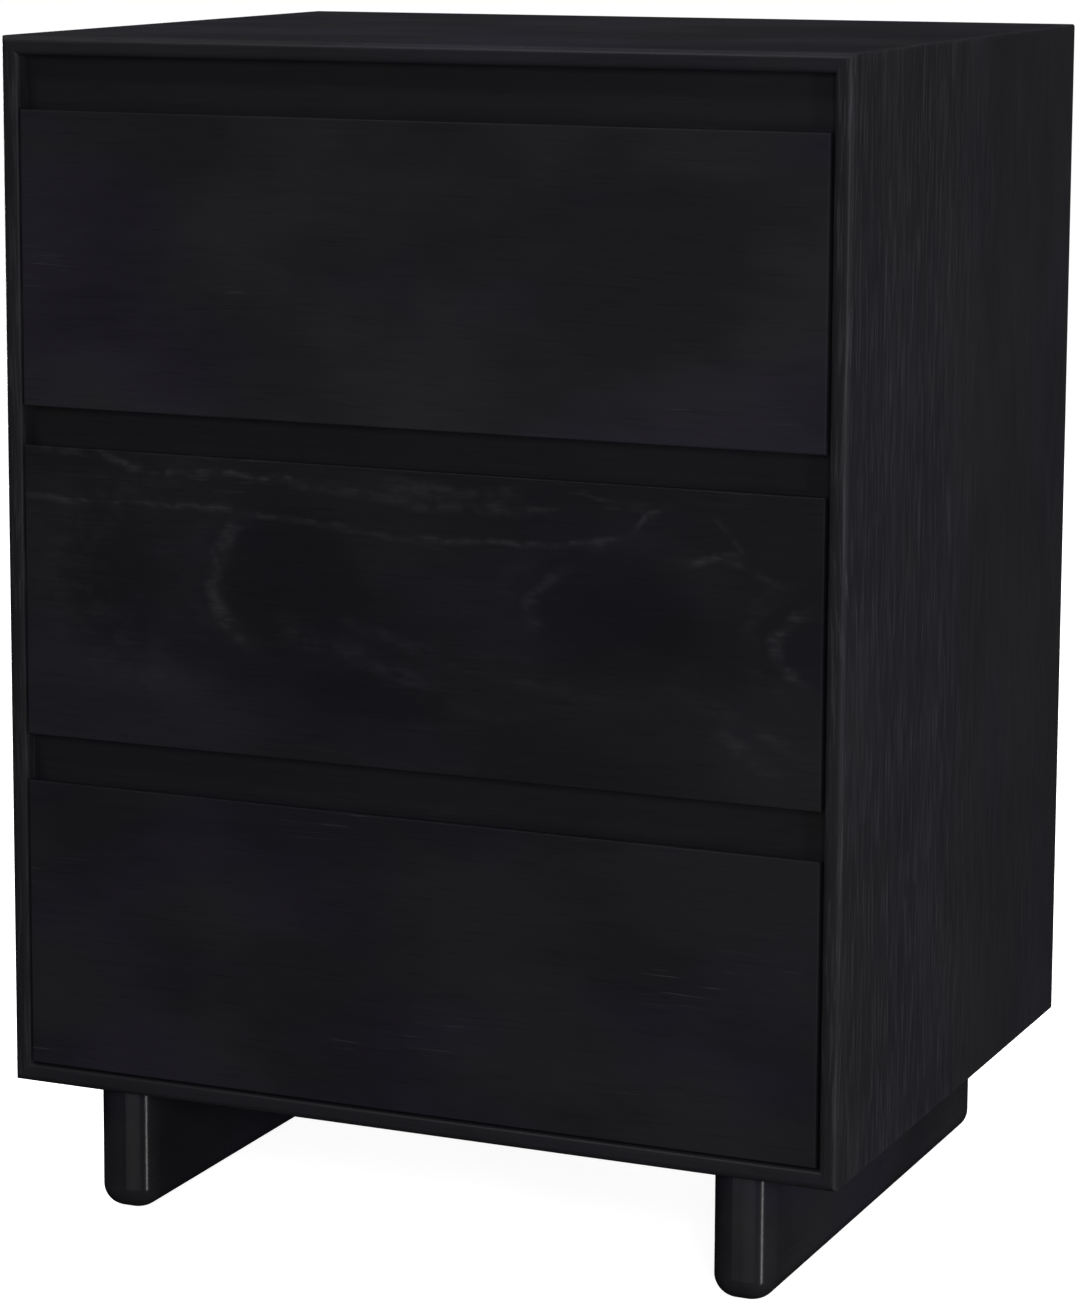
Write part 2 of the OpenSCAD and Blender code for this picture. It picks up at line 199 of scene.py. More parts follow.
class Finish(Tree):
    """A node material. Its points are measured in the object's own space, in metres."""

    def __init__(self, name):
        super().__init__(bpy.data.materials.new(name))
        self.point = self.node("ShaderNodeTexCoord", None, None, "Object")

    def close(self, constants, **changing):
        """Ends the tree in a Principled shader, and returns the material."""
        names = {"colour": "Base Color", "roughness": "Roughness", "normal": "Normal"}
        values = dict(constants)
        values.update({names[key]: value for key, value in changing.items()})
        shader = self.node("ShaderNodeBsdfPrincipled", None, values)
        self.node("ShaderNodeOutputMaterial", None, {"Surface": shader})
        return self.owner


def paint(material, *names):
    """Puts a material on the CAD nodes of those names."""
    for name in names:
        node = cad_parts[name]
        if not node.material_slots:
            node.data.materials.append(None)
        for place in node.material_slots:
            place.material = material


# ---------------------------------------------------------------- wood and steel

# How far the fibres of a stained board wander off the line of its grain.
FIBRE_SWAY = 10 * MM
# Between these depths, from front to back, the streaks of the case sides thin out.
BARE_FROM, BARE_TO = -50 * MM, 60 * MM
# The height of a light and a dark layer of the plywood together.
TWO_PLIES = 2.4 * MM
# The height of the grain in each finish.
STAIN_RELIEF = 0.10 * MM
LACQUER_RELIEF = 0.12 * MM
PLATING_RELIEF = 0.04 * MM


def arrises(finish, place, low, high, width):
    """1 along the arrises of a box, and 0 from a width away."""
    near = []
    for value, start, end in zip(place.split(), low, high):
        half = (end - start) / 2
        offset = abs(value - (start + end) / 2)
        near.append(finish.step(offset, half - width, half, soft=False))
    pairs = near[X].least(near[Y]), near[Y].least(near[Z]), near[X].least(near[Z])
    return pairs[0].most(pairs[1]).most(pairs[2])


def stain_shade(finish, clouds, bands, fibres, pores, blotch):
    """How light the stain lies over the clouds, bands, fibres and open pores, around 1."""
    shade = 1.0 + blotch * (finish.step(clouds, 0.36, 0.64, -0.5, 0.5) + 0.5 * (bands - 0.5))
    shade = shade + 0.22 * (fibres - 0.5)
    return shade * finish.step(pores, 0.58, 0.72, 1.0, 0.86)


def dusty_streaks(finish, patches, dust, streaks, sparse):
    """The strength of the dusty streaks. Where sparse is below 0, more of the dust shows too."""
    light = finish.step(patches, 0.42 + sparse, 0.58 + sparse) * streaks
    denser = min(sparse, 0.0) / 2
    return light * finish.step(dust, 0.62 + denser, 0.74 + denser)


def rub_back_and_highlight(finish, point, place, box, stain, colour):
    """A colour whose arrises are rubbed back unevenly and lightened: partly rubbed stain, partly a
    painted highlight.
    """
    near = finish.step(arrises(finish, point, *box, stain.arris), 0.05, 0.85)
    rub_and_highlight_noise = finish.noise(place, 34.0, detail=3.0)
    # The band along the arrises is lighter partly as rubbed stain and partly as a painted highlight.
    rubbed = near * finish.step(rub_and_highlight_noise, 0.25, 0.62, 0.35, 1.0)
    return finish.mix(rubbed * stain.wear_and_highlight, colour, stain.streak_and_highlight)


def black_wood(name, box, grain, stain, seed=0.0, level=1.0, streaks=0.5, violet=0.5, blotch=0.5,
               figure=None, mirror=False, gloss=False, worn_and_highlit=True, sparse=0.0, painted_light_below=0.0,
               bare_back=0.0, specular=None):
    """Wood under a black stain: clouds, fibres, open pores, dusty streaks, and arrises lightened partly
    by rubbing and partly as a painted highlight.

    level makes the whole board lighter or darker, and blotch is how strongly it clouds.
    violet is how far the clouds take the second colour of the stain.
    streaks is the strength of the dusty streaks. sparse keeps them to fewer places, or lets them
    into more where it is below 0, and bare_back takes them away towards the back.
    settle paints light from below: it lightens the lower edge and darkens the upper one.
    mirror gives the left and the right one pattern, and gloss is the finish of the runners.
    figure draws a board's own marks, and worn rubs back its arrises and lightens them, partly as a
    painted highlight."""
    finish = Finish(name)
    point = finish.point
    if mirror:
        x, y, z = point.split()
        point = finish.node("ShaderNodeCombineXYZ", None, {0: abs(x), 1: y, 2: z})
    place = point + (seed, seed * 0.7, seed * 1.3)
    sway = finish.grained(place, grain, along=4.0, across=11.0, detail=1.0)
    swayed = place + (sway - 0.5) * FIBRE_SWAY

    clouds = finish.grained(place, grain, along=8.0, across=14.0, detail=3.0)
    drift = finish.grained(place, grain, along=5.5, across=9.5, detail=3.0)
    bands = finish.grained(swayed, grain, along=2.0, across=55.0, detail=3.0, roughness=0.6)
    fibres = finish.grained(swayed, grain, along=16.0, across=620.0, roughness=0.6)
    pores = finish.grained(swayed, grain, along=34.0, across=950.0, detail=1.0)
    dust = finish.grained(swayed, grain, along=26.0, across=800.0)
    patches = finish.grained(place, grain, along=5.0, across=16.0)

    shade = stain_shade(finish, clouds, bands, fibres, pores, blotch)
    # Painted light from below: the lower edge is lighter and the upper edge darker.
    if painted_light_below:
        height = point.split()[Z]
        shade = shade * finish.step(height, box[0].z, box[1].z, 1 + painted_light_below, 1 - painted_light_below, soft=False)
    colour = finish.mix(finish.step(drift, 0.42, 0.60) * violet, stain.neutral, stain.violet)
    colour = finish.tint(colour, shade * level)

    light = dusty_streaks(finish, patches, dust, streaks, sparse)
    if bare_back:
        light = light * finish.step(point.split()[Y], BARE_FROM, BARE_TO, 1.0, 1 - bare_back)
    if figure is not None:
        mark, shadow = figure(finish, point, fibres)
        colour = finish.tint(colour, shadow)
        light = light.most(mark)
    colour = finish.mix(light, colour, stain.streak_and_highlight)

    # Lightens the arrises, partly as rubbed stain and partly as a painted highlight.
    if worn_and_highlit:
        colour = rub_back_and_highlight(finish, point, place, box, stain, colour)

    sheen = stain.gloss_roughness if gloss else stain.roughness
    roughness = sheen + 0.16 * (clouds - 0.5) + 0.12 * (fibres - 0.5) + light * 0.10
    height = fibres * 0.45 + finish.step(pores, 0.58, 0.74, 0.0, -0.9) + bands * 0.3
    relief = 0.05 if gloss else 0.22
    if specular is None:
        specular = stain.gloss_specular if gloss else stain.specular
    return finish.close({"Specular IOR Level": specular}, colour=colour, roughness=roughness,
                        normal=finish.bump(height, STAIN_RELIEF, relief))


def pale_wood(name, grain, light, dark, ring=46.0, seed=0.0, roughness=0.46, plies=False):
    """Clear-lacquered pale wood: growth rings, fibres and small dark flecks.

    ring is about how many growth rings there are to the metre, across the grain.
    plies draws the layers of plywood."""
    finish = Finish(name)
    place = finish.point + (seed, seed * 1.9, seed * 0.6)
    warp = finish.grained(place, grain, along=1.6, across=9.0)
    rings = finish.grained(place + warp * 0.03, grain, along=0.9, across=ring)
    fibres = finish.grained(place, grain, along=22.0, across=800.0, roughness=0.6)
    flecks = finish.grained(place, grain, along=70.0, across=1100.0, detail=1.0)
    share = finish.step(rings, 0.34, 0.68) * 0.62 + fibres * 0.30
    colour = finish.mix(share, light, dark)
    colour = finish.mix(finish.step(flecks, 0.66, 0.80) * 0.45, colour, dark)
    if plies:
        turns = finish.point.split()[Z] * (2 * math.pi / TWO_PLIES)
        colour = finish.tint(colour, 0.94 + 0.06 * turns.sine())
    height = fibres * 0.6 + rings * 0.4
    return finish.close({"Specular IOR Level": 0.5}, colour=colour,
                        roughness=roughness + 0.12 * (fibres - 0.5),
                        normal=finish.bump(height, LACQUER_RELIEF, 0.35))


def zinc(name, light, dark, roughness=0.36, grain=Y):
    """Zinc-plated steel: a faint rolled grain, cloudy plating and fine scratches."""
    finish = Finish(name)
    cloud = finish.noise(finish.point, 26.0, detail=4.0, roughness=0.6)
    rolled = finish.grained(finish.point, grain, along=6.0, across=900.0)
    scratch = finish.grained(finish.point, grain, along=30.0, across=1500.0, detail=1.0)
    colour = finish.mix(finish.step(cloud, 0.35, 0.65), light, dark)
    rough = roughness + 0.14 * (cloud - 0.5) + 0.16 * (rolled - 0.5)
    height = rolled * 0.6 + finish.step(scratch, 0.66, 0.74, 0.0, 0.6)
    return finish.close({"Metallic": 0.55}, colour=colour, roughness=rough,
                        normal=finish.bump(height, PLATING_RELIEF, 0.30))


# ---------------------------------------------------------------- figure of the middle front

# Places on this board are (across from the middle, down from its top) in millimetres.
# A grain line has its two ends, its width and its strength.
GRAIN_LINES = (
    ((-236, 1), (-188, 2), 4.0, 0.40),
    ((-194, 1), (-166, 11), 4.0, 0.90),
    ((-172, 11), (-66, 9), 3.4, 0.70),
    ((-80, 10), (10, 18), 5.0, 0.34),
    ((-240, 30), (-150, 29), 3.4, 0.60),
    ((-164, 29), (-40, 33), 2.8, 0.55),
    ((-60, 33), (20, 42), 3.2, 0.30),
    ((6, 38), (110, 35), 3.2, 0.60),
    ((104, 35), (134, 25), 3.6, 0.60),
    ((128, 26), (150, 10), 3.6, 0.55),
    ((-20, 8), (60, 16), 7.0, 0.40),
    ((0, 20), (84, 17), 4.2, 0.42),
    ((34, 13), (66, 9), 6.0, 0.45),
    ((164, 40), (194, 36), 3.6, 0.60),
    ((186, 37), (218, 48), 4.4, 0.34),
    ((180, 14), (204, 40), 4.0, 0.26),
    ((-78, 92), (14, 121), 12.0, 0.26),
    ((-36, 88), (26, 106), 7.0, 0.24),
    ((-20, 122), (60, 134), 6.0, 0.12),
    ((184, 130), (216, 152), 10.0, 0.36),
    ((196, 124), (234, 140), 7.0, 0.28),
    ((150, 112), (204, 124), 9.0, 0.16),
    ((60, 112), (140, 122), 6.0, 0.16),
)
# An oval has its centre, its two radii, its width, its strength and its lean.
GRAIN_OVALS = (
    ((-84, 69), (36, 37), 8.0, 0.60, 0.0),
    ((98, 66), (25, 18), 6.0, 0.40, 0.35),
    ((244, 82), (28, 21), 5.0, 0.55, 0.0),
    ((-84, 69), (128, 70), 26.0, 0.18, 0.0),
    ((-80, 66), (56, 44), 6.0, 0.10, 0.0),
    ((104, 64), (46, 30), 6.0, 0.10, 0.0),
    ((246, 80), (46, 36), 8.0, 0.16, 0.0),
)
# An island of shade has its centre, its two radii and its depth, which is below 0 where it is light.
GRAIN_ISLANDS = (
    ((-70, 69), (40, 36), 0.16),
    ((120, 72), (52, 34), 0.18),
    ((-186, 74), (30, 44), 0.14),
    ((-20, 128), (44, 12), 0.16),
    ((-210, 160), (110, 46), -0.34),
    ((222, 140), (40, 34), -0.20),
    ((-236, 60), (30, 50), -0.14),
)
# How far the slow warp and the finer curl of the board move its marks, across and down.
WARP = (12 * MM, 9 * MM)
CURL = (7 * MM, 6 * MM)
# The longest fade at the ends of a grain line, in millimetres.
LONGEST_FADE = 14.0
FIGURE_STRENGTH = 0.60


def oval_place(x, drop, centre, radii):
    """A point's place in an oval, as shares of its radii: across and down."""
    across = (x - centre[0] * MM) / (radii[0] * MM)
    down = (drop - centre[1] * MM) / (radii[1] * MM)
    return across, down


def grain_line(finish, x, drop, start, end, width, strength):
    """A light line of the grain between two points."""
    (x0, d0), (x1, d1) = start, end
    line = finish.step(x, x0 * MM, x1 * MM, d0 * MM, d1 * MM, soft=False)
    near = finish.step(abs(drop - line), 0.0, width * MM, 1.0, 0.0)
    fade = min(LONGEST_FADE, (x1 - x0) / 3) * MM
    ends = finish.step(x, x0 * MM - fade, x0 * MM + fade)
    ends = ends * finish.step(x, x1 * MM - fade, x1 * MM + fade, 1.0, 0.0)
    return near * ends * strength


def crescent(finish, x, drop, centre, radii, width, strength, lean):
    """The light left side of an oval in the grain."""
    across, down = oval_place(x, drop, centre, radii)
    across = across + down * lean
    length = (across * across + down * down) ** 0.5
    near = finish.step(abs(length - 1.0), 0.0, width / min(radii), 1.0, 0.0)
    return near * finish.step(across * -1.0, 0.10, 0.75) * strength


def cathedral(finish, point, fibres):
    """Ovals and streaks of a strongly figured board, on the middle front: light and shade."""
    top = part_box("middle_front")[1].z
    warp = finish.noise(point, 24.0, detail=2.0)
    curl = finish.noise(point + (0.3, 0.1, 0.7), 85.0, detail=2.0)
    x, _, z = point.split()
    x = x + (warp - 0.5) * WARP[0] + (curl - 0.5) * CURL[0]
    drop = top - z + (warp - 0.5) * WARP[1] + (curl - 0.5) * CURL[1]

    marks = [grain_line(finish, x, drop, *line) for line in GRAIN_LINES]
    marks += [crescent(finish, x, drop, *oval) for oval in GRAIN_OVALS]
    wisps = finish.noise(point * (16.0, 1.0, 210.0) + warp * 1.5, detail=2.0)
    wisps = finish.step(wisps, 0.56, 0.70) * finish.step(drop, 19 * MM, 27 * MM, 0.42, 0.08)
    marks.append(wisps * finish.step(abs(x + 30 * MM), 100 * MM, 200 * MM, 1.0, 0.25))

    flaked = finish.noise(point * (90.0, 1.0, 260.0), detail=2.0)
    broken = finish.step(fibres, 0.28, 0.66, 0.55, 1.0) * finish.step(curl, 0.36, 0.58, 0.25, 1.0)
    broken = broken * finish.step(flaked, 0.36, 0.56, 0.35, 1.0)

    shade = 1.0
    for centre, radii, depth in GRAIN_ISLANDS:
        across, down = oval_place(x, drop, centre, radii)
        shade = shade * finish.step(across * across + down * down, 0.5, 1.7, 1.0 - depth, 1.0)
    return reduce(Flow.most, marks) * broken * FIGURE_STRENGTH, shade


# ---------------------------------------------------------------- settings


class StainSettings(bpy.types.PropertyGroup):
    """The black stain of the case, the fronts and the rails"""

    neutral: FloatVectorProperty(
        name="Stain", description="Colour of the stain where it lies evenly",
        subtype="COLOR", size=3, min=0.0, max=1.0, default=tone(31, 30.6, 33))
    violet: FloatVectorProperty(
        name="Cloud", description="Colour of the stain where it clouds",
        subtype="COLOR", size=3, min=0.0, max=1.0, default=tone(31, 29.3, 36.6))
    # This colour also paints the highlight along the arrises, besides the light grain lines.
    streak_and_highlight: FloatVectorProperty(
        name="Streak", description="Colour of the light grain lines and of the worn arrises",
        subtype="COLOR", size=3, min=0.0, max=1.0, default=tone(62, 61, 65))
    roughness: FloatProperty(
        name="Roughness", description="Roughness of the satin lacquer",
        min=0.0, max=1.0, default=0.38, subtype="FACTOR")
    specular: FloatProperty(
        name="Sheen", description="Strength of the lacquer's reflection",
        min=0.0, max=1.0, default=0.12, subtype="FACTOR")
    front_specular: FloatProperty(
        name="Front sheen", description="Strength of the reflection of the duller drawer fronts",
        min=0.0, max=1.0, default=0.06, subtype="FACTOR")
    gloss_specular: FloatProperty(
        name="Runner sheen", description="Strength of the reflection of the glossier runners",
        min=0.0, max=1.0, default=0.35, subtype="FACTOR")
    gloss_roughness: FloatProperty(
        name="Runner roughness", description="Roughness of the glossier runners",
        min=0.0, max=1.0, default=0.17, subtype="FACTOR")
    # The arrises are lightened partly as rubbed stain and partly as a painted highlight.
    wear_and_highlight: FloatProperty(
        name="Wear", description="How far the arrises are rubbed back",
        min=0.0, max=1.0, default=0.07, subtype="FACTOR")
    arris: FloatProperty(
        name="Arris width", description="Width of the rubbed band along an arris",
        min=0.0, max=0.01, default=0.0034, unit="LENGTH", precision=4)


class InsideSettings(bpy.types.PropertyGroup):
    """The drawer boxes, the slides and the screws"""

    box_light: FloatVectorProperty(
        name="Box wood", description="Light colour of the drawer boxes",
        subtype="COLOR", size=3, min=0.0, max=1.0, default=(0.43, 0.30, 0.175))
    box_dark: FloatVectorProperty(
        name="Box grain", description="Grain colour of the drawer boxes",
        subtype="COLOR", size=3, min=0.0, max=1.0, default=(0.27, 0.165, 0.085))
    ply_light: FloatVectorProperty(
        name="Plywood", description="Light colour of the drawer bottoms",
        subtype="COLOR", size=3, min=0.0, max=1.0, default=(0.42, 0.31, 0.19))
    ply_dark: FloatVectorProperty(
        name="Plywood grain", description="Grain colour of the drawer bottoms",
        subtype="COLOR", size=3, min=0.0, max=1.0, default=(0.30, 0.20, 0.11))
    steel_light: FloatVectorProperty(
        name="Zinc", description="Light colour of the zinc plating",
        subtype="COLOR", size=3, min=0.0, max=1.0, default=(0.60, 0.61, 0.63))
    steel_dark: FloatVectorProperty(
        name="Zinc cloud", description="Dark colour of the zinc plating",
        subtype="COLOR", size=3, min=0.0, max=1.0, default=(0.48, 0.49, 0.52))
    ball_light: FloatVectorProperty(
        name="Ball strip", description="Light colour of the strips that stand for the balls",
        subtype="COLOR", size=3, min=0.0, max=1.0, default=(0.70, 0.70, 0.68))


class StudioSettings(bpy.types.PropertyGroup):
    """The floor, the lights and the camera"""

    floor: FloatVectorProperty(
        name="Floor", description="Colour of the floor",
        subtype="COLOR", size=3, min=0.0, max=1.0, default=(0.62, 0.62, 0.62))
    floor_size: FloatProperty(
        name="Floor size", description="Length of a side of the floor",
        min=1.0, max=100.0, default=40.0, unit="LENGTH")
    glow: FloatProperty(
        name="Floor glow", description="Light that the floor gives off by itself",
        min=0.0, max=2.0, default=0.90)
    surround: FloatProperty(
        name="Surround", description="Soft light from all round",
        min=0.0, max=2.0, default=0.20)
    overhead: FloatProperty(
        name="Overhead", description="Power of the overhead soft box, in watts",
        min=0.0, max=500.0, default=62.0)
    top: FloatProperty(
        name="Top strip", description="Power of the strip that shines on the upper arrises, in watts",
        min=0.0, max=500.0, default=12.0)
    strip: FloatProperty(
        name="Side strips", description="Power of each strip that shines on upright arrises, in watts",
        min=0.0, max=500.0, default=7.5)
    side: FloatProperty(
        name="Side wall", description="Power of the soft light at the right, in watts",
        min=0.0, max=500.0, default=37.0)
    back: FloatProperty(
        name="Back and left", description="Power of the soft lights at the back and the left, in watts",
        min=0.0, max=500.0, default=34.0)
    low: FloatProperty(
        name="Low strip", description="Power of the small strip that shines on the runners, in watts",
        min=0.0, max=500.0, default=2.6)
    fill: FloatProperty(
        name="Front fill", description="Power of the light beside the camera, in watts",
        min=0.0, max=500.0, default=28.5)
    card: FloatProperty(
        name="Card", description="Power of the card that the fronts reflect, in watts",
        min=0.0, max=500.0, default=4.4)
    lens: FloatProperty(
        name="Lens", description="Focal length of the camera, in millimetres",
        min=20.0, max=300.0, default=115.94)
    camera_place: FloatVectorProperty(
        name="Camera place", description="Place of the camera",
        subtype="TRANSLATION", size=3, unit="LENGTH", default=(0.9656, -2.281, 0.7878))
    camera_yaw: FloatProperty(
        name="Camera yaw", description="Turn of the camera to the left",
        subtype="ANGLE", unit="ROTATION", default=math.radians(24.90))
    camera_pitch: FloatProperty(
        name="Camera pitch", description="How far the camera looks down",
        subtype="ANGLE", unit="ROTATION", default=math.radians(8.69))
    shift: FloatVectorProperty(
        name="Shift", description="Shift of the camera's frame",
        size=2, default=(0.10, -0.12))


# ---------------------------------------------------------------- pieces


class NIGHTSTAND_OT_case(bpy.types.Operator):
    """Finish the four mitred case panels and their corner splines"""

    bl_idname = "nightstand.case"
    bl_label = "Case"

    def execute(self, context):
        stain = context.scene.nightstand_stain
        side = {"violet": 0.3, "blotch": 0.12, "bare_back": 0.70, "sparse": -0.20}
        panels = (
            ("case_top", X, {"streaks": 0.25, "blotch": 0.16}),
            ("case_bottom", X, {"seed": 3.1, "streaks": 0.2, "violet": 0.4, "blotch": 0.16}),
            ("case_left", Z, {"seed": 5.7, "level": 0.95, "streaks": 0.26, **side}),
            ("case_right", Z, {"seed": 8.3, "streaks": 0.30, **side}),
            ("corner_splines", Y, {"seed": 1.0, "streaks": 0.2, "violet": 0.2, "blotch": 0.1}),
        )
        for name, grain, look in panels:
            paint(black_wood(name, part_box(name), grain, stain, **look), name)
        return {"FINISHED"}


class NIGHTSTAND_OT_rails(bpy.types.Operator):
    """Finish the three rails behind the finger gaps, and their dowels"""

    bl_idname = "nightstand.rails"
    bl_label = "Rails"

    def execute(self, context):
        stain = context.scene.nightstand_stain
        inside = context.scene.nightstand_inside
        for turn, name in enumerate(("top_rail", "middle_rail", "bottom_rail")):
            wood = black_wood(name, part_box(name), X, stain, seed=2.0 + turn, level=0.88,
                              streaks=0.1, violet=0.3, blotch=0.1, worn_and_highlit=False)
            paint(wood, name)
        dowels = pale_wood("dowel_wood", X, inside.box_light, inside.box_dark, ring=160.0)
        paint(dowels, "rail_dowels")
        return {"FINISHED"}


class NIGHTSTAND_OT_fronts(bpy.types.Operator):
    """Finish the three drawer fronts, each cut from its own board"""

    bl_idname = "nightstand.fronts"
    bl_label = "Drawer fronts"

    def execute(self, context):
        stain = context.scene.nightstand_stain
        plain = {"streaks": 0.6, "violet": 0.95, "blotch": 0.30}
        figured = {"streaks": 0.0, "violet": 0.6, "blotch": 0.20, "figure": cathedral}
        boards = (
            # settle paints light from below on the two plain fronts.
            ("top_front", {"seed": 4.4, "level": 1.03, "painted_light_below": 0.07, **plain}),
            ("middle_front", {"seed": 6.1, "level": 0.76, **figured}),
            ("bottom_front", {"seed": 9.6, "level": 0.92, "painted_light_below": 0.06, **plain}),
        )
        for name, look in boards:
            wood = black_wood(name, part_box(name), X, stain, worn_and_highlit=False, sparse=0.16,
                              specular=stain.front_specular, **look)
            paint(wood, name)
        return {"FINISHED"}


class NIGHTSTAND_OT_runners(bpy.types.Operator):
    """Finish the two runners, which are glossier than the case"""

    bl_idname = "nightstand.runners"
    bl_label = "Runners"

    def execute(self, context):
        stain = context.scene.nightstand_stain
        wood = black_wood("runner_wood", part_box("right_runner"), Y, stain, seed=7.7, streaks=0.1,
                          violet=0.8, blotch=0.3, mirror=True, gloss=True, worn_and_highlit=False)
        paint(wood, "left_runner", "right_runner")
        return {"FINISHED"}


class NIGHTSTAND_OT_back(bpy.types.Operator):
    """Finish the back panel"""

    bl_idname = "nightstand.back"
    bl_label = "Back panel"

    def execute(self, context):
        stain = context.scene.nightstand_stain
        wood = black_wood("back_panel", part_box("back_panel"), Z, stain, seed=11.0, violet=0.4,
                          blotch=0.2)
        paint(wood, "back_panel")
        return {"FINISHED"}


class NIGHTSTAND_OT_boxes(bpy.types.Operator):
    """Finish the dovetailed drawer boxes and their plywood bottoms"""

    bl_idname = "nightstand.boxes"
    bl_label = "Drawer boxes"

    def execute(self, context):
        inside = context.scene.nightstand_inside
        long_wood = pale_wood("box_wood_across", X, inside.box_light, inside.box_dark, seed=1.0)
        side_wood = pale_wood("box_wood_side", Y, inside.box_light, inside.box_dark, seed=4.0)
        ply = pale_wood("bottom_ply", X, inside.ply_light, inside.ply_dark, ring=20.0, seed=2.0,
                        roughness=0.5, plies=True)
        for drawer in DRAWERS:
            paint(long_wood, f"{drawer}_box_front", f"{drawer}_box_back")
            paint(side_wood, f"{drawer}_box_left", f"{drawer}_box_right")
            paint(ply, f"{drawer}_box_bottom")
        return {"FINISHED"}


class NIGHTSTAND_OT_slides(bpy.types.Operator):
    """Finish the three-member ball-bearing slides"""

    bl_idname = "nightstand.slides"
    bl_label = "Slides"

    def execute(self, context):
        inside = context.scene.nightstand_inside
        plated = zinc("slide_steel", inside.steel_light, inside.steel_dark)
        balls = zinc("ball_strip", inside.ball_light, inside.steel_light, roughness=0.18)
        for drawer in DRAWERS:
            members = [f"{drawer}_slide_{member}" for member in ("outer", "middle", "inner")]
            paint(plated, *members)
            paint(balls, f"{drawer}_slide_balls")
        return {"FINISHED"}


class NIGHTSTAND_OT_screws(bpy.types.Operator):
    """Finish the screws of the back, the runners, the slides and the fronts"""

    bl_idname = "nightstand.screws"
    bl_label = "Screws"

    def execute(self, context):
        inside = context.scene.nightstand_inside
        plated = zinc("screw_steel", inside.steel_light, inside.steel_dark, roughness=0.34, grain=X)
        names = ["back_screws", "runner_screws", "case_slide_screws"]
        for drawer in DRAWERS:
            names += [f"{drawer}_slide_screws", f"{drawer}_front_screws"]
        paint(plated, *names)
        return {"FINISHED"}


# ---------------------------------------------------------------- studio

SENSOR_WIDTH = 36.0
WHITE = (1.0, 1.0, 1.0)

# A light has its name, the setting that holds its power, its place, the point it faces and its size.
# The soft lights are not seen in reflections, so only the strips and the card draw highlights.
SOFT_LIGHTS = (
    ("overhead", "overhead", (-0.30, 0.25, 2.6), (0.0, 0.05, TABLE_TOP), (1.5, 0.8)),
    ("side_wall", "side", (2.5, 0.05, 0.30), (0.25, 0.0, 0.30), (1.0, 1.2)),
    ("front_fill", "fill", (1.1, -2.5, 1.05), (0.0, -0.2, 0.4), (0.7, 0.7)),
    ("back_wall", "back", (0.6, 2.8, 1.2), (0.0, 0.2, 0.35), (1.6, 1.2)),
    ("left_wall", "back", (-2.5, 0.5, 1.2), (-0.25, 0.0, 0.35), (0.8, 1.0)),
)
# The strips end below the table top or hang high above it, so none of them glares on the top.
STRIPS = (
    ("top_strip", "top", (-0.70, -1.60, 2.3), (-0.1, -0.2, TABLE_TOP), (0.6, 0.3)),
    ("side_strip", "strip", (1.9, -1.50, 0.40), (0.25, -0.2, 0.45), (0.20, 0.5)),
    ("back_strip", "strip", (-1.9, 1.60, 0.40), (-0.25, 0.2, 0.45), (0.20, 0.5)),
    ("low_strip", "low", (2.1, -1.15, -0.78), (0.19, -0.18, -0.2), (0.22, 0.5)),
)
CARD = ("card", "card", (0.30, -2.9, -0.30), (0.1, -0.2, 0.1), (3.2, 1.3))


def soft_box(studio, name, power, place, target, size):
    """A rectangular light that faces a point."""
    data = bpy.data.lights.new(name, "AREA")
    data.shape = "RECTANGLE"
    data.size, data.size_y = size
    data.energy = getattr(studio, power)
    lamp = bpy.data.objects.new(name, data)
    lamp.location = place
    lamp.rotation_euler = (Vector(target) - Vector(place)).to_track_quat("-Z", "Y").to_euler()
    lamp.visible_camera = False
    bpy.context.scene.collection.objects.link(lamp)
    return lamp


def make_floor(scene, studio):
    """A plain glowing floor that shows to the camera but not in reflections."""
    half = studio.floor_size / 2
    mesh = bpy.data.meshes.new("floor")
    corners = [(-half, -half, 0), (half, -half, 0), (half, half, 0), (-half, half, 0)]
    mesh.from_pydata(corners, [], [(0, 1, 2, 3)])
    floor = bpy.data.objects.new("floor", mesh)
    scene.collection.objects.link(floor)
    floor.visible_glossy = False
    floor.visible_diffuse = False
    floor.visible_shadow = False
    finish = Finish("floor_paint")
    mottle = finish.noise(finish.point, 3.0, detail=2.0)
    glow = {"Emission Color": WHITE, "Emission Strength": studio.glow, "Specular IOR Level": 0.0}
    colour = finish.tint(studio.floor[:], 0.99 + 0.02 * mottle)
    mesh.materials.append(finish.close(glow, colour=colour, roughness=0.8 + 0.1 * mottle))


def make_surround(scene, studio):
    """A white background that lights the matt surfaces softly and isn't reflected."""
    scene.world = bpy.data.worlds.new("surround")
    tree = Tree(scene.world)
    seen = tree.node("ShaderNodeLightPath", None, None, "Is Camera Ray")
    lit = tree.node("ShaderNodeLightPath", None, None, "Is Diffuse Ray")
    values = {"Color": WHITE, "Strength": seen + lit * studio.surround}
    sky = tree.node("ShaderNodeBackground", None, values)
    tree.node("ShaderNodeOutputWorld", None, {"Surface": sky})


def make_lights(studio):
    """The soft lights, the strips and the card."""
    for light in SOFT_LIGHTS:
        soft_box(studio, *light).visible_glossy = False
    for light in STRIPS:
        soft_box(studio, *light)
    soft_box(studio, *CARD).visible_diffuse = False


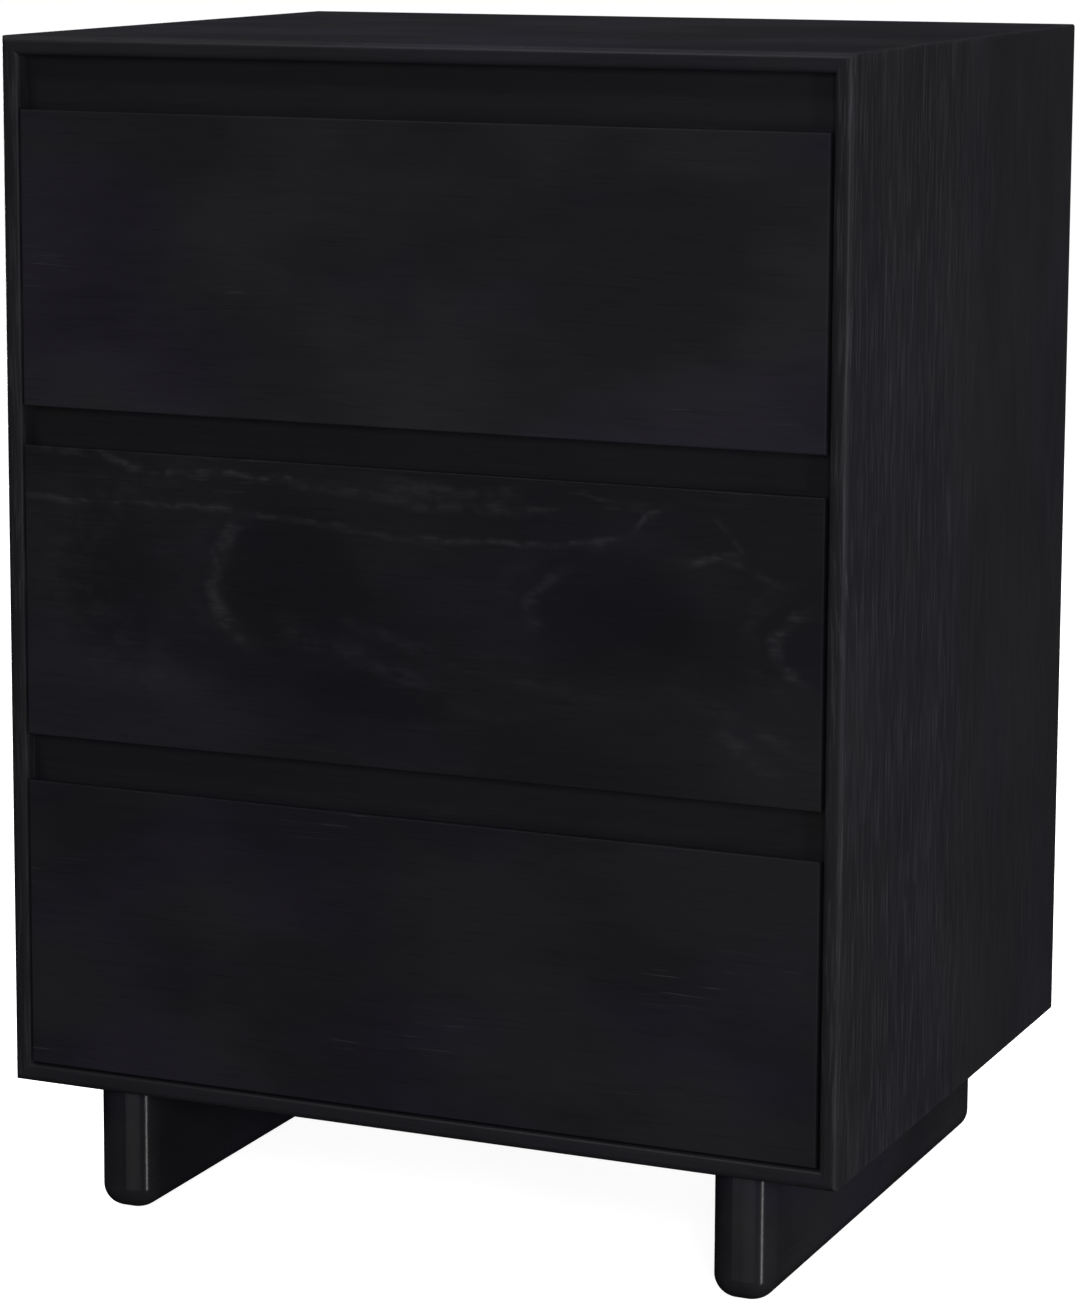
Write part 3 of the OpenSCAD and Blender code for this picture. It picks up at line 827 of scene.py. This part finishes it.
def make_camera(scene, studio):
    """The camera, a little to the right of the front and above the table top."""
    data = bpy.data.cameras.new("camera")
    data.sensor_width = SENSOR_WIDTH
    data.lens = studio.lens
    data.shift_x, data.shift_y = studio.shift
    camera = bpy.data.objects.new("camera", data)
    camera.location = studio.camera_place
    camera.rotation_euler = Euler((math.pi / 2 - studio.camera_pitch, 0.0, studio.camera_yaw))
    scene.collection.objects.link(camera)
    scene.camera = camera


class NIGHTSTAND_OT_studio(bpy.types.Operator):
    """Make the floor, the surround, the lights and the camera"""

    bl_idname = "nightstand.studio"
    bl_label = "Studio"

    def execute(self, context):
        scene = context.scene
        studio = scene.nightstand_studio
        scene.view_settings.view_transform = "Standard"
        make_floor(scene, studio)
        make_surround(scene, studio)
        make_lights(studio)
        make_camera(scene, studio)
        return {"FINISHED"}


# ---------------------------------------------------------------- panel and registration

STEPS = (
    NIGHTSTAND_OT_studio,
    NIGHTSTAND_OT_case,
    NIGHTSTAND_OT_rails,
    NIGHTSTAND_OT_fronts,
    NIGHTSTAND_OT_runners,
    NIGHTSTAND_OT_back,
    NIGHTSTAND_OT_boxes,
    NIGHTSTAND_OT_slides,
    NIGHTSTAND_OT_screws,
)


class NIGHTSTAND_PT_build(bpy.types.Panel):
    """The nightstand's steps and settings"""

    bl_idname = "NIGHTSTAND_PT_build"
    bl_label = "Nightstand"
    bl_space_type = "VIEW_3D"
    bl_region_type = "UI"
    bl_category = "Nightstand"

    def draw(self, context):
        column = self.layout.column(align=True)
        for step in STEPS:
            column.operator(step.bl_idname)
        for name, group in SETTINGS.items():
            box = self.layout.box()
            for key in group.__annotations__:
                box.prop(getattr(context.scene, name), key)


SETTINGS = {
    "nightstand_stain": StainSettings,
    "nightstand_inside": InsideSettings,
    "nightstand_studio": StudioSettings,
}
CLASSES = (*SETTINGS.values(), *STEPS, NIGHTSTAND_PT_build)


def register():
    for made in CLASSES:
        bpy.utils.register_class(made)
    for name, group in SETTINGS.items():
        setattr(bpy.types.Scene, name, PointerProperty(type=group))


def unregister():
    for name in SETTINGS:
        delattr(bpy.types.Scene, name)
    for made in reversed(CLASSES):
        bpy.utils.unregister_class(made)


def main():
    """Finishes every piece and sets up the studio."""
    register()
    for step in STEPS:
        getattr(bpy.ops.nightstand, step.bl_idname.split(".")[1])()


if __name__ == "__main__":
    main()
